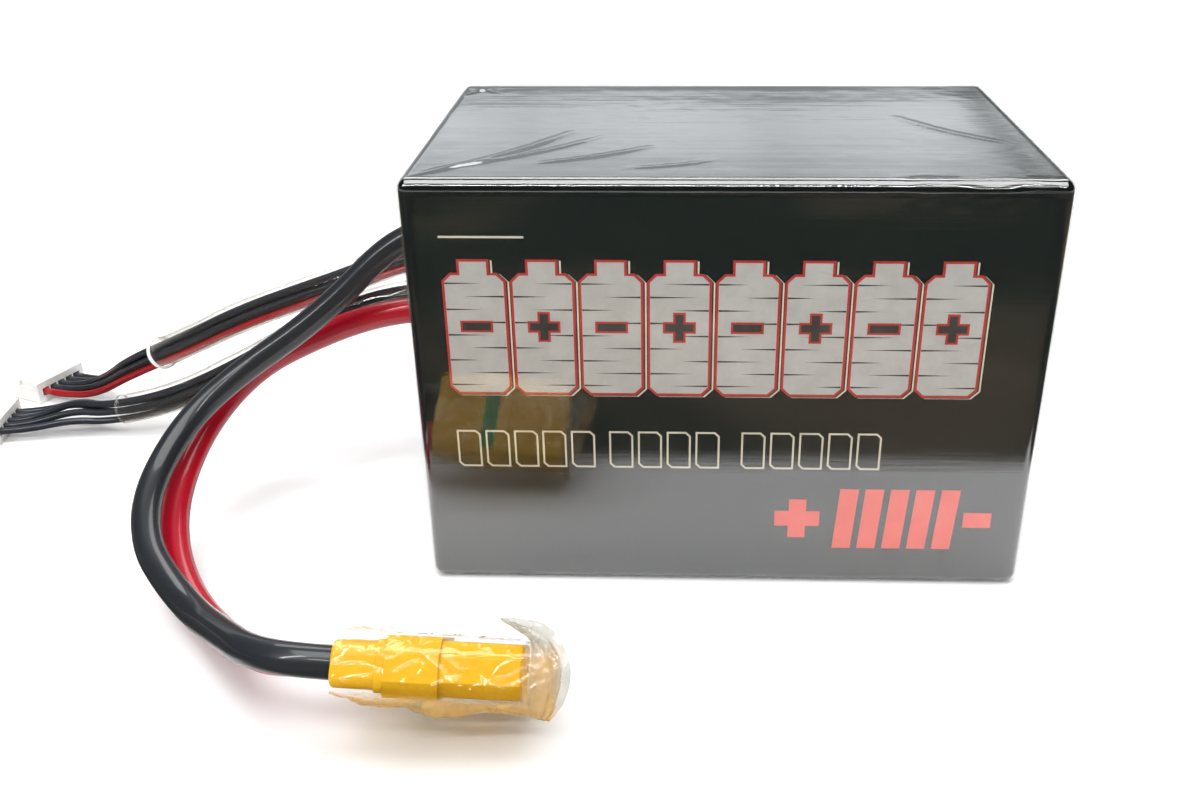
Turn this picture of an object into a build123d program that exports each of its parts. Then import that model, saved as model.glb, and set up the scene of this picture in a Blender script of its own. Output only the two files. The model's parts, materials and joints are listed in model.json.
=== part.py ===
"""Eight-cell lithium polymer battery pack with main leads, connector and balance leads.

The origin is at the middle of the pack's base. X runs along the length, with the leads at the
-X end, Y runs through the stack of cells, with the printed front at -Y, and Z is up.
"""
from build123d import *
import math
import os

# Driving dimensions, in millimetres and degrees
pack_length = 118.0
pack_depth = 75.0
pack_height = 84.0

film_thickness = 0.2
label_thickness = 0.2
wrap_thickness = 0.3
band_thickness = 0.3
stiffener_thickness = 0.5
end_board_thickness = 1.0
end_board_space = 3.0
pad_thickness = 1.0
corner_radius = 2.2

cell_count = 8
cell_thickness = 8.8
cell_tape_thickness = 0.2
cell_edge_radius = 1.5
rear_foam_thickness = 3.0
seal_length = 3.5
seal_thickness = 0.5
seal_space = 1.7
seal_overlap = 1.0

tab_width = 14.0
tab_thickness = 0.3
tab_offset = 20.0
tab_board_thickness = 1.0
tab_board_margin = 5.0
link_thickness = 0.5
link_margin = 1.0
link_overhang = 1.6
insulator_thickness = 0.3
busbar_thickness = 1.0
busbar_width = 11.0
busbar_overhang = 3.0
busbar_leg_height = 7.0
busbar_leg_overrun = 5.0
tab_side_gap = 0.3
balance_board_low = (9.6, 33.5)
balance_board_high = (24.5, 58.5)

lead_diameter = 5.6
wire_diameter = 1.7
wire_pitch = 2.25
sleeve_outer_diameter = 7.4
sleeve_inner_diameter = 6.8
sleeve_inside_gap = 0.5
hole_gap = 0.4
lead_solder_length = 1.5
lead_solder_radii = (4.2, 3.2)
wire_solder_length = 0.4
wire_solder_radius = 1.0
sleeve_ring_width = 0.9
sleeve_ring_thickness = 0.35
sleeve_ring_gap = 0.05
sleeve_ring_inset = 0.9

connector_lean = 39.0
connector_turn = 2.0
connector_pitch = 4.5
connector_width = 21.2
connector_thickness = 9.8
connector_chamfer = 2.6
connector_rounding = 1.2
connector_cap_width = 19.8
connector_cap_thickness = 7.6
connector_cap_wall = 0.6
connector_cap_rear_wall = 1.4
connector_cap_rounding = 2.4
connector_cap_rear_rounding = 0.8
connector_cap_length = 8.5
cap_rim_length = 1.3
cap_rim_rise = 0.45
connector_body_length = 8.8
connector_nose_length = 13.4
connector_nose_inset = 0.55
nose_edge_chamfer = 0.5
inlay_depth = 0.6
inlay_low = (11.3, -6.5)
inlay_high = (14.5, 9.0)
contact_spacing = 10.9
contact_outer_diameter = 5.6
contact_inner_diameter = 4.5
contact_bore_gap = 0.1
contact_floor = 14.0
contact_set_back = 1.0
cup_diameter = 6.0
cup_bore_diameter = 4.6
cup_start = 4.0
cup_end = 12.0
cup_depth = 6.5
resistor_start = 20.0
resistor_end = 24.0
resistor_diameter = 2.2
resistor_slot_gap = 0.3
resistor_end_gap = 0.5
pre_charge_ring_length = 3.6
pre_charge_gap = 1.2
film_sleeve_thickness = 0.15
film_sleeve_start = -0.5
film_sleeve_end = 37.0
film_sleeve_gap = 0.35
film_sleeve_slack = 0.9
film_sleeve_rounding = 1.0

plug_length = 9.8
plug_width = 14.9
plug_height = 5.75
plug_pitch = 2.5
plug_rounding = 0.5
plug_cavity_half_width = 1.0
plug_front_wall = 0.8
plug_slot_half_width = 0.5
plug_window_start = 3.2
plug_window_end = 7.2
plug_groove_start = 1.5
plug_groove_end = 6.5
plug_groove_height = 1.4
plug_groove_depth = 0.7
plug_contact_start = 2.5
plug_contact_half_width = 0.8
wires_per_plug = 5

# How far cutting shapes reach past what they cut, and how far joined shapes run into each other
overcut = 1.0
joining_overlap = 0.2

half_length = pack_length / 2
half_depth = pack_depth / 2
lead_end = -half_length

# Where the leads and the balance wires leave the end of the pack, as (y, z)
black_exit = (1.0, 61.3)
red_exit = (3.0, 42.5)
upper_exit = (15.0, 51.5)
lower_exit = (17.0, 40.5)
film_window_low = (-6.0, 33.0)
film_window_high = (23.5, 72.0)
film_window_radius = 5.0

# Layers at the lead end, from the outside in
wrap_inner_x = lead_end + film_thickness + wrap_thickness
busbar_outer_x = wrap_inner_x + end_board_thickness + end_board_space
busbar_inner_x = busbar_outer_x + busbar_thickness
link_outer_x = busbar_inner_x + insulator_thickness
tab_board_outer_x = link_outer_x + link_thickness
tab_board_inner_x = tab_board_outer_x + tab_board_thickness
seal_end_x = tab_board_inner_x + seal_space
cell_start_x = seal_end_x + seal_length
cell_end_x = half_length - film_thickness - wrap_thickness - end_board_thickness - rear_foam_thickness
lead_start_x = busbar_outer_x - lead_solder_length
wire_start_x = busbar_outer_x - wire_solder_length
sleeve_start_x = wrap_inner_x + sleeve_inside_gap

# Layers at the base, top and sides
inner_bottom = film_thickness + wrap_thickness
inner_top = pack_height - inner_bottom
cell_bottom = inner_bottom + band_thickness + pad_thickness
cell_top = pack_height - cell_bottom
inner_half_depth = half_depth - film_thickness - label_thickness - wrap_thickness
stack_half_depth = (cell_count * cell_thickness + (cell_count - 1) * cell_tape_thickness) / 2
middle_height = pack_height / 2

# Routes of the cords, as corner points chosen by hand
black_route = [
    (lead_start_x, *black_exit), (-61.3, *black_exit), (-67.3, 0.8, 59.6), (-73.6, 0.2, 55.3),
    (-81.7, -1.9, 47.4), (-92, -4.3, 39.4), (-102.5, -8, 32.9), (-111.3, -15, 26.7), (-115.8, -25, 20.8),
    (-115.8, -36.5, 16.6),
    (-111.8, -46.8, 13.4), (-104.7, -55.3, 11.4), (-96.2, -64, 10.7), (-87.1, -73.8, 14.2),
    (-79.5, -81.5, 16.9),
]
red_route = [
    (lead_start_x, *red_exit), (-66, *red_exit), (-78, 3.5, 40), (-90, 3.2, 35.3), (-102.5, 1, 29.4),
    (-111, -6.5, 22), (-114.5, -17, 15.4), (-114, -29, 10.4), (-110, -40, 6.4), (-103.5, -50, 3.9),
    (-95.3, -58.4, 3), (-86.9, -67.5, 6), (-79.8, -74, 9.1),
]
upper_route = [
    (wire_start_x, *upper_exit), (-65, *upper_exit), (-75, 15.1, 48.6), (-86, 15.3, 44), (-98, 16, 39.6),
    (-112, 17.2, 34), (-126, 19.5, 26.6), (-146, 27.5, 15.8),
]
lower_route = [
    (wire_start_x, *lower_exit), (-66, *lower_exit), (-80, 17.5, 38), (-94, 18.5, 31.7), (-108, 19.5, 23.5),
    (-122, 20, 15.7), (-136, 20.3, 9.6), (-151, 20.8, 6.3),
]
sleeve_end_shares = {"upper": 0.5, "lower": 0.72}

# How the balance wires fan out into a plug: lengths back from its rear face, and shares kept
fan_length = 17.0
fan_rise = 3.4
fan_spread = 0.8
fan_height_kept = 0.7
wire_straight_length = 5.0
wire_end_depth = 2.5

upper_plug_place = (-174.0, 43.0, 22.0)
lower_plug_place = (-177.0, 21.5, -6.0)

os.makedirs("parts", exist_ok=True)


def save(name, shape):
    """Write one node's solids."""
    export_step(shape, f"parts/{name}.step")


def block(low, high):
    """A block between two opposite corners."""
    size = [high[i] - low[i] for i in range(3)]
    middle = [(high[i] + low[i]) / 2 for i in range(3)]
    return Pos(*middle) * Box(*size)


def rounded_block(low, high, radius):
    """A block with every edge rounded."""
    shape = block(low, high)
    return fillet(shape.edges(), radius)


def rod(radius, start_x, end_x, y=0.0, z=0.0):
    """A cylinder along X between two stations."""
    return Pos((start_x + end_x) / 2, y, z) * Rot(0, 90, 0) * Cylinder(radius, end_x - start_x)


def corner_radii(points):
    """The largest tangent arc that fits each corner of a route."""
    radii = []
    for before, corner, after in zip(points, points[1:], points[2:]):
        run_in = Vector(*corner) - Vector(*before)
        run_out = Vector(*after) - Vector(*corner)
        half_turn = math.radians(run_in.get_angle(run_out)) / 2
        radii.append(0.45 * min(run_in.length, run_out.length) / math.tan(half_turn))
    return radii


def tube(points, radius, radii=None):
    """A round solid along straight runs joined by tangent arcs."""
    path = FilletPolyline(*points, radius=radii or corner_radii(points))
    section = Plane(origin=path @ 0, z_dir=path % 0) * Circle(radius)
    return sweep(section, path=path), path.length


def cord(name, points, diameter):
    """Write a cord's tube and print what can be checked about it."""
    solid, length = tube(points, diameter / 2)
    expected = math.pi * diameter ** 2 / 4 * length
    print(name, "length", round(length, 1), "volume ratio", round(solid.volume / expected, 4),
          "radii", [round(radius) for radius in corner_radii(points)])
    save(name, solid)


# Cells and what joins them

def cell_middle(index):
    """Y of the middle of one cell, counted from the front."""
    return -stack_half_depth + cell_thickness / 2 + index * (cell_thickness + cell_tape_thickness)


def tab_height(index, positive):
    """Z of a tab's middle: the polarity alternates from cell to cell."""
    at_top = positive == (index % 2 == 1)
    return middle_height + (tab_offset if at_top else -tab_offset)


def tab_end(index, positive):
    """The first negative tab and the last positive tab reach through to their busbars."""
    reaches_busbar = (index == 0 and not positive) or (index == cell_count - 1 and positive)
    return busbar_inner_x if reaches_busbar else tab_board_outer_x


def tab_block(start_x, end_x, index, positive, gap=0.0):
    """The space of one tab, with an optional gap all round."""
    y = cell_middle(index)
    z = tab_height(index, positive)
    half_y = tab_thickness / 2 + gap
    half_z = tab_width / 2 + gap
    return block((start_x, y - half_y, z - half_z), (end_x, y + half_y, z + half_z))


def build_cells():
    """Pouch cells, each with its flat sealed edge at the tab end."""
    for index in range(cell_count):
        y = cell_middle(index)
        body = rounded_block(
            (cell_start_x, y - cell_thickness / 2, cell_bottom),
            (cell_end_x, y + cell_thickness / 2, cell_top), cell_edge_radius)
        seal = block(
            (seal_end_x, y - seal_thickness / 2, cell_bottom + 2 * cell_edge_radius),
            (cell_start_x + seal_overlap, y + seal_thickness / 2, cell_top - 2 * cell_edge_radius))
        save(f"cell_{index + 1}", body + seal)


def build_tabs():
    """Aluminium positive tabs and nickel-plated negative tabs."""
    for name, positive in (("cell_tabs_positive", True), ("cell_tabs_negative", False)):
        tabs = [tab_block(tab_end(index, positive), seal_end_x, index, positive)
                for index in range(cell_count)]
        save(name, Compound(children=tabs))


def build_cell_tapes():
    """Double-sided tape between neighbouring cells."""
    tape_margin = 8.0
    tapes = []
    for index in range(cell_count - 1):
        start_y = cell_middle(index) + cell_thickness / 2
        tapes.append(block(
            (cell_start_x + tape_margin, start_y, cell_bottom + tape_margin),
            (cell_end_x - tape_margin, start_y + cell_tape_thickness, cell_top - tape_margin)))
    save("cell_tapes", Compound(children=tapes))


def build_tab_board():
    """Insulating board that the tabs pass through."""
    board = block((tab_board_outer_x, -stack_half_depth, cell_bottom + tab_board_margin),
                  (tab_board_inner_x, stack_half_depth, cell_top - tab_board_margin))
    for index in range(cell_count):
        for positive in (True, False):
            board -= tab_block(tab_board_outer_x - overcut, tab_board_inner_x + overcut,
                               index, positive, tab_side_gap)
    save("tab_board", board)


def build_series_links():
    """Copper links, each from one cell's positive tab to the next cell's negative tab."""
    half_height = tab_width / 2 + link_margin
    links = []
    for index in range(cell_count - 1):
        z = tab_height(index, True)
        links.append(block(
            (link_outer_x, cell_middle(index) - link_overhang, z - half_height),
            (tab_board_outer_x, cell_middle(index + 1) + link_overhang, z + half_height)))
    save("series_links", Compound(children=links))


def build_busbar_insulator():
    """Sheet between the links and the busbars, with a window for each end tab."""
    sheet = block((busbar_inner_x, -stack_half_depth, cell_bottom + tab_board_margin),
                  (link_outer_x, stack_half_depth, cell_top - tab_board_margin))
    for index, positive in ((0, False), (cell_count - 1, True)):
        sheet -= tab_block(busbar_inner_x - overcut, link_outer_x + overcut, index, positive, tab_side_gap)
    save("busbar_insulator", sheet)


def busbar_leg(low, high):
    """One straight leg of a busbar, from (y, z) to (y, z)."""
    return block((busbar_outer_x, *low), (busbar_inner_x, *high))


def build_busbars():
    """Copper bars from the end tabs to where the main leads are soldered."""
    half_width = busbar_width / 2
    black_y, black_z = black_exit
    red_y, red_z = red_exit
    negative = busbar_leg((cell_middle(0) - busbar_overhang, black_z - half_width),
                          (black_y + half_width, black_z + half_width))
    save("negative_busbar", negative)

    outer_y = cell_middle(cell_count - 1) + busbar_overhang
    low_z = middle_height - tab_offset
    high_z = middle_height + tab_offset + busbar_leg_overrun
    positive = busbar_leg((outer_y - busbar_leg_height, low_z), (outer_y, high_z))
    positive += busbar_leg((red_y - half_width, low_z), (outer_y, low_z + busbar_leg_height))
    positive += busbar_leg((red_y - half_width, low_z), (red_y + half_width, red_z + half_width))
    save("positive_busbar", positive)


def build_balance_board():
    """Small board that the balance wires are soldered to."""
    save("balance_board", block((busbar_outer_x, *balance_board_low), (busbar_inner_x, *balance_board_high)))


def bundle_offsets():
    """Where the wires of one bundle run beside its middle line, as (y, z)."""
    column = wire_pitch * math.sqrt(3) / 4
    return [(-column, -wire_pitch), (-column, 0.0), (-column, wire_pitch),
            (column, wire_pitch / 2), (column, -wire_pitch / 2)]


def build_solder_joints():
    """Solder under the two leads and under each balance wire."""
    joints = []
    for y, z in (black_exit, red_exit):
        cone = Rot(0, -90, 0) * Cone(*lead_solder_radii, lead_solder_length)
        joints.append(Pos(busbar_outer_x - lead_solder_length / 2, y, z) * cone)
    for exit_y, exit_z in (upper_exit, lower_exit):
        for offset_y, offset_z in bundle_offsets():
            joints.append(rod(wire_solder_radius, wire_start_x, busbar_outer_x,
                              exit_y + offset_y, exit_z + offset_z))
    save("solder_joints", Compound(children=joints))


# Boards, pads and skins round the stack

def lead_holes(start_x, end_x, gap):
    """Round spaces for the leads and the balance bundles."""
    holes = []
    for (y, z), diameter in ((black_exit, lead_diameter), (red_exit, lead_diameter),
                             (upper_exit, sleeve_outer_diameter), (lower_exit, sleeve_outer_diameter)):
        holes.append(rod(diameter / 2 + gap, start_x, end_x, y, z))
    return holes


def build_boards():
    """End boards, the sheets on the large faces and the pads above and below."""
    board_half_depth = inner_half_depth - corner_radius
    board_bottom = inner_bottom + corner_radius
    board_top = inner_top - corner_radius
    lead_board = block((wrap_inner_x, -board_half_depth, board_bottom),
                       (wrap_inner_x + end_board_thickness, board_half_depth, board_top))
    for hole in lead_holes(wrap_inner_x - overcut, wrap_inner_x + end_board_thickness + overcut, hole_gap):
        lead_board -= hole
    save("lead_end_board", lead_board)

    rear_start = cell_end_x + rear_foam_thickness
    save("rear_foam", block((cell_end_x, -stack_half_depth, cell_bottom),
                            (rear_start, stack_half_depth, cell_top)))
    save("rear_end_board", block((rear_start, -board_half_depth, board_bottom),
                                 (rear_start + end_board_thickness, board_half_depth, board_top)))

    sheet_start = inner_half_depth - band_thickness - stiffener_thickness
    for name, side in (("front_stiffener", -1), ("back_stiffener", 1)):
        ends = sorted((side * sheet_start, side * (sheet_start + stiffener_thickness)))
        save(name, block((cell_start_x, ends[0], cell_bottom), (cell_end_x, ends[1], cell_top)))

    save("bottom_pad", block((cell_start_x, -stack_half_depth, cell_bottom - pad_thickness),
                             (cell_end_x, stack_half_depth, cell_bottom)))
    save("top_pad", block((cell_start_x, -stack_half_depth, cell_top),
                          (cell_end_x, stack_half_depth, cell_top + pad_thickness)))


def build_fibre_bands():
    """Two glass fibre bands that tie the stack together."""
    band_width = 14.0
    band_inset = 25.0
    bands = []
    for x in (cell_start_x + band_inset, cell_end_x - band_inset):
        outer = block((x - band_width / 2, -inner_half_depth, inner_bottom),
                      (x + band_width / 2, inner_half_depth, inner_top))
        inner = block((x - band_width, -inner_half_depth + band_thickness, inner_bottom + band_thickness),
                      (x + band_width, inner_half_depth - band_thickness, inner_top - band_thickness))
        outer = fillet(outer.edges().filter_by(Axis.X), corner_radius - inner_bottom)
        bands.append(outer - inner)
    save("fibre_bands", Compound(children=bands))


def pack_shape(inset, side_inset):
    """The pack's rounded outside, set in by one distance and by another on its large faces."""
    return rounded_block((-half_length + inset, -half_depth + side_inset, inset),
                         (half_length - inset, half_depth - side_inset, pack_height - inset),
                         corner_radius - inset)


def build_shrink_wrap():
    """Black heat-shrink skin with a hole for each lead."""
    side_inset = film_thickness + label_thickness
    wrap = pack_shape(film_thickness, side_inset)
    wrap -= pack_shape(inner_bottom, side_inset + wrap_thickness)
    for hole in lead_holes(lead_end - overcut, wrap_inner_x + overcut, hole_gap):
        wrap -= hole
    save("shrink_wrap", wrap)


def build_clear_overwrap():
    """Clear shrink film over the labels, cut away round the leads."""
    window = block((lead_end - overcut, *film_window_low), (lead_end + overcut, *film_window_high))
    window = fillet(window.edges().filter_by(Axis.X), film_window_radius)
    film = pack_shape(0, 0) - pack_shape(film_thickness, film_thickness) - window
    save("clear_overwrap", film)


def build_labels():
    """Printed sheets under the clear film, on the front and on the back."""
    margin = 3.0
    corner = 2.0
    for name, outer_y, inner_y in (
            ("front_label", -half_depth + film_thickness, -half_depth + film_thickness + label_thickness),
            ("back_label", half_depth - film_thickness - label_thickness, half_depth - film_thickness)):
        sheet = block((-half_length + margin, outer_y, margin),
                      (half_length - margin, inner_y, pack_height - margin))
        save(name, fillet(sheet.edges().filter_by(Axis.Y), corner))


# Connector, built about its own axis, then leaned on its side with its nose down and turned a little

connector_rear = (-64.9, -80.6, 14.45)
connector_frame = (Pos(*connector_rear) * Rot(0, 0, connector_turn) * Rot(0, connector_pitch, 0)
                   * Rot(-connector_lean, 0, 0))
connector_length = connector_cap_length + connector_body_length + connector_nose_length
body_start = connector_cap_length
nose_start = body_start + connector_body_length
socket_end = connector_length - contact_set_back
lead_straight_length = 5.0


def connector_section(start_x, end_x, inset, chamfer_size):
    """A length of connector: two corners chamfered on the negative side, two rounded on the other."""
    half_width = connector_width / 2 - inset
    half_thickness = connector_thickness / 2 - inset
    shape = block((start_x, -half_width, -half_thickness), (end_x, half_width, half_thickness))
    long_edges = shape.edges().filter_by(Axis.X).group_by(Axis.Y)
    shape = chamfer(long_edges[0], chamfer_size)
    rounded_edges = shape.edges().filter_by(Axis.X).group_by(Axis.Y)[-1]
    return fillet(rounded_edges, connector_rounding)


def place_connector(name, shape):
    """Write a connector piece where the connector lies."""
    save(name, connector_frame * shape)


def place_in(frame, x, y, z):
    """A point of a placed piece in the pack's frame."""
    return tuple((frame * Pos(x, y, z)).position)


def inlay_space(face_side, reach):
    """The space of one inlay, from its floor out past the wide face by a given reach."""
    heights = sorted(face_side * (connector_thickness / 2 + offset) for offset in (-inlay_depth, reach))
    return block((*inlay_low, heights[0]), (*inlay_high, heights[1]))


def build_connector_housing():
    """Yellow plug body with a bore for each contact and a slot for the resistor."""
    housing = connector_section(body_start, nose_start, 0.0, connector_chamfer)
    nose = connector_section(nose_start - joining_overlap, connector_length, connector_nose_inset,
                             connector_chamfer - connector_nose_inset / 2)
    housing += chamfer(nose.faces().sort_by(Axis.X)[-1].edges(), nose_edge_chamfer)
    cup_space_end = cup_end + contact_bore_gap
    for side in (-1, 1):
        y = side * contact_spacing / 2
        housing -= rod(cup_diameter / 2 + contact_bore_gap, body_start - overcut, cup_space_end, y)
        housing -= rod(contact_outer_diameter / 2 + contact_bore_gap, cup_end, connector_length + overcut, y)
        housing -= inlay_space(side, overcut)
    slot = resistor_diameter / 2 + resistor_slot_gap
    housing -= block((resistor_start - resistor_end_gap, -slot, -slot),
                     (resistor_end + resistor_end_gap, slot, slot))
    place_connector("connector_housing", housing)


def build_connector_inlays():
    """Green strips let into the two wide faces, which mark the anti-spark type."""
    place_connector("anti_spark_inlays", Compound(children=[inlay_space(-1, 0.0), inlay_space(1, 0.0)]))


def build_connector_cap():
    """Rear cover over the solder cups, with a hole for each lead and a raised rim at its front."""
    half_width = connector_cap_width / 2
    half_thickness = connector_cap_thickness / 2
    cap = block((0, -half_width, -half_thickness), (connector_cap_length, half_width, half_thickness))
    cap = fillet(cap.edges().filter_by(Axis.X), connector_cap_rounding)
    cap = fillet(cap.faces().sort_by(Axis.X)[0].edges(), connector_cap_rear_rounding)
    rim_rise = cap_rim_rise
    rim = block((connector_cap_length - cap_rim_length, -half_width - rim_rise, -half_thickness - rim_rise),
                (connector_cap_length, half_width + rim_rise, half_thickness + rim_rise))
    cap += fillet(rim.edges().filter_by(Axis.X), connector_cap_rounding + rim_rise / 2)
    wall = connector_cap_wall
    cavity = block((connector_cap_rear_wall, -half_width + wall, -half_thickness + wall),
                   (connector_cap_length + overcut, half_width - wall, half_thickness - wall))
    cap -= fillet(cavity.edges().filter_by(Axis.X), connector_cap_rounding - wall)
    for side in (-1, 1):
        cap -= rod(lead_diameter / 2 + contact_bore_gap, -overcut, connector_cap_rear_wall + overcut,
                   side * contact_spacing / 2)
    place_connector("connector_cap", cap)


def ring(outer_diameter, inner_diameter, start_x, end_x, y):
    """A round ring along X."""
    bore = rod(inner_diameter / 2, start_x - overcut, end_x + overcut, y)
    return rod(outer_diameter / 2, start_x, end_x, y) - bore


def contact(side, end_x, floor_x):
    """A gold-plated socket with a cup at its rear for the lead's bare strands."""
    y = side * contact_spacing / 2
    cup = rod(cup_diameter / 2, cup_start, cup_end, y)
    cup -= rod(cup_bore_diameter / 2, cup_start - overcut, cup_start + cup_depth, y)
    socket = rod(contact_outer_diameter / 2, cup_end - joining_overlap, end_x, y)
    socket -= rod(contact_inner_diameter / 2, floor_x, end_x + overcut, y)
    return cup + socket


def build_contacts():
    """Both sockets, the pre-charge ring in front of the positive one and its insulator."""
    y = contact_spacing / 2
    ring_start = socket_end - pre_charge_ring_length
    insulator_start = ring_start - pre_charge_gap
    outer = contact_outer_diameter
    inner = contact_inner_diameter
    place_connector("negative_contact", contact(-1, socket_end, contact_floor))
    place_connector("positive_contact", contact(1, insulator_start, contact_floor))
    place_connector("anti_spark_insulator", ring(outer, inner, insulator_start, ring_start, y))
    place_connector("pre_charge_ring", ring(outer, inner, ring_start, socket_end, y))
    place_connector("pre_charge_resistor", rod(resistor_diameter / 2, resistor_start, resistor_end))

    fills = [rod(cup_bore_diameter / 2, cup_start, cup_start + cup_depth, side * y) for side in (-1, 1)]
    place_connector("lead_solder_fills", Compound(children=fills))


def build_connector_film_sleeve():
    """Loose clear film sleeve over the connector, open at its front end."""
    wall = film_sleeve_thickness
    half_width = connector_width / 2 + film_sleeve_gap + wall
    top = connector_thickness / 2 + film_sleeve_gap + wall
    bottom = -connector_thickness / 2 - film_sleeve_slack - wall
    outer = block((film_sleeve_start, -half_width, bottom), (film_sleeve_end, half_width, top))
    inner = block((film_sleeve_start - overcut, -half_width + wall, bottom + wall),
                  (film_sleeve_end + overcut, half_width - wall, top - wall))
    outer = fillet(outer.edges().filter_by(Axis.X), film_sleeve_rounding)
    inner = fillet(inner.edges().filter_by(Axis.X), film_sleeve_rounding - wall)
    place_connector("connector_film_sleeve", outer - inner)


# Cords and the plugs on them

def build_main_leads():
    """Silicone leads from the busbars to the connector's cups."""
    y = contact_spacing / 2
    for name, route, pin_y in (("black_lead", black_route, -y), ("red_lead", red_route, y)):
        ends = [place_in(connector_frame, -lead_straight_length, pin_y, 0),
                place_in(connector_frame, cup_start, pin_y, 0)]
        cord(name, route + ends, lead_diameter)


def plug_frame(place):
    """Where a balance plug lies: its rear end's middle, heading away from the pack."""
    x, y, turn = place
    return Pos(x, y, plug_height / 2) * Rot(0, 0, 180 - turn)


def pin_offset(index):
    """Sideways place of one of a plug's pins."""
    return (index - (wires_per_plug - 1) / 2) * plug_pitch


def wire_route(route, offset, place, pin):
    """A balance wire: beside the bundle's middle line, then fanned out to its pin."""
    frame = plug_frame(place)
    points = [(x, y + offset[0], z + offset[1]) for x, y, z in route]
    sideways = -pin_offset(pin)
    fan_height = fan_rise + fan_height_kept * offset[1]
    points.append(place_in(frame, -fan_length, fan_spread * sideways, fan_height))
    points.append(place_in(frame, -wire_straight_length, sideways, 0))
    points.append(place_in(frame, wire_end_depth, sideways, 0))
    return points


def build_balance_lead(side, route, place):
    """One bundle of five wires, with its clear sleeve and its plug."""
    for pin, offset in enumerate(bundle_offsets()):
        cord(f"{side}_balance_wire_{pin + 1}", wire_route(route, offset, place, pin), wire_diameter)

    start, end = Vector(*route[-2]), Vector(*route[-1])
    sleeve_end = start + (end - start) * sleeve_end_shares[side]
    sleeve_points = [(sleeve_start_x, *route[0][1:])] + route[1:-1] + [tuple(sleeve_end)]
    radii = corner_radii(route)[:len(sleeve_points) - 2]
    outer, length = tube(sleeve_points, sleeve_outer_diameter / 2, radii)
    inner, _ = tube(sleeve_points, sleeve_inner_diameter / 2, radii)
    print(side, "sleeve length", round(length, 1))
    save(f"{side}_balance_sleeve", outer - inner)

    if side == "upper":
        build_sleeve_ring(sleeve_end, (end - start).normalized())
    build_plug(side, plug_frame(place))


def build_sleeve_ring(sleeve_end, direction):
    """Thin white ring round the upper sleeve, just back from its end."""
    ring_plane = Plane(origin=sleeve_end - direction * sleeve_ring_inset, z_dir=direction)
    inner_radius = sleeve_outer_diameter / 2 + sleeve_ring_gap
    sleeve_ring = Cylinder(inner_radius + sleeve_ring_thickness, sleeve_ring_width)
    sleeve_ring -= Cylinder(inner_radius, sleeve_ring_width + overcut)
    save("upper_sleeve_ring", ring_plane * sleeve_ring)


def channel(start_x, end_x, y, half_width, half_height):
    """A straight square channel along X."""
    return block((start_x, y - half_width, -half_height), (end_x, y + half_width, half_height))


def build_plug(side, frame):
    """A balance plug: a housing with a latch groove on each side, and its crimped contacts."""
    half_width = plug_width / 2
    half_height = plug_height / 2
    housing = block((0, -half_width, -half_height), (plug_length, half_width, half_height))
    housing = fillet(housing.edges().filter_by(Axis.X), plug_rounding)
    for edge in (-1, 1):
        reach = sorted((edge * (half_width - plug_groove_depth), edge * (half_width + overcut)))
        housing -= block((plug_groove_start, reach[0], plug_groove_height),
                         (plug_groove_end, reach[1], plug_height))
    contacts = []
    cavity = plug_cavity_half_width
    slot = plug_slot_half_width
    contact_half = plug_contact_half_width
    cavity_end = plug_length - plug_front_wall
    contact_end = cavity_end - joining_overlap
    for pin in range(wires_per_plug):
        y = pin_offset(pin)
        housing -= channel(-overcut, cavity_end, y, cavity, cavity)
        housing -= channel(contact_end, plug_length + overcut, y, slot, slot)
        housing -= block((plug_window_start, y - slot, -plug_height), (plug_window_end, y + slot, -slot))
        contacts.append(channel(plug_contact_start, contact_end, y, contact_half, contact_half))
    save(f"{side}_plug_housing", frame * housing)
    save(f"{side}_plug_contacts", Compound(children=[frame * contact for contact in contacts]))


def main():
    """Write every node."""
    build_cells()
    build_tabs()
    build_cell_tapes()
    build_tab_board()
    build_series_links()
    build_busbar_insulator()
    build_busbars()
    build_balance_board()
    build_solder_joints()
    build_boards()
    build_fibre_bands()
    build_shrink_wrap()
    build_clear_overwrap()
    build_labels()
    build_connector_housing()
    build_connector_inlays()
    build_connector_cap()
    build_contacts()
    build_connector_film_sleeve()
    build_main_leads()
    build_balance_lead("upper", upper_route, upper_plug_place)
    build_balance_lead("lower", lower_route, lower_plug_place)


main()
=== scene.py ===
"""Looks of an eight-cell lithium polymer battery pack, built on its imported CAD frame.

Lengths are in metres in the CAD's own frame: X along the pack, -Y out of its printed front, Z up.
"""
import json
import math

import bmesh
import bpy
from mathutils import Matrix, Vector, noise


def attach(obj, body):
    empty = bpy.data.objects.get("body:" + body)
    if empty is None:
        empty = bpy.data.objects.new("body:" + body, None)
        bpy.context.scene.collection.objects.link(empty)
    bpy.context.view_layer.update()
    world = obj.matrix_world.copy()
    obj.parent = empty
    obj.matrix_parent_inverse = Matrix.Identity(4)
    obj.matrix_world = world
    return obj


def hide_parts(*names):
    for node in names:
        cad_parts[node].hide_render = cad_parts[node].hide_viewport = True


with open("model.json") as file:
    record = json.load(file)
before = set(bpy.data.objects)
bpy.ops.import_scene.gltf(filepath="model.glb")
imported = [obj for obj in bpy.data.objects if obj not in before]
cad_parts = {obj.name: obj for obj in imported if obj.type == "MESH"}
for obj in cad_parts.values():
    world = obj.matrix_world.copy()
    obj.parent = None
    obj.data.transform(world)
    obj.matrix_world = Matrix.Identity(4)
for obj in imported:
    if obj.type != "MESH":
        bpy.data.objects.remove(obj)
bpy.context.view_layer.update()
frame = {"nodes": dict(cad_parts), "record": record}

mm = 0.001

# The pack's own box, and what part.py says about its layers
pack_length = 118 * mm
pack_depth = 75 * mm
pack_height = 84 * mm
corner_radius = 2.2 * mm
film_window_low = (-6.0 * mm, 33.0 * mm)
film_window_high = (23.5 * mm, 72.0 * mm)

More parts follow.
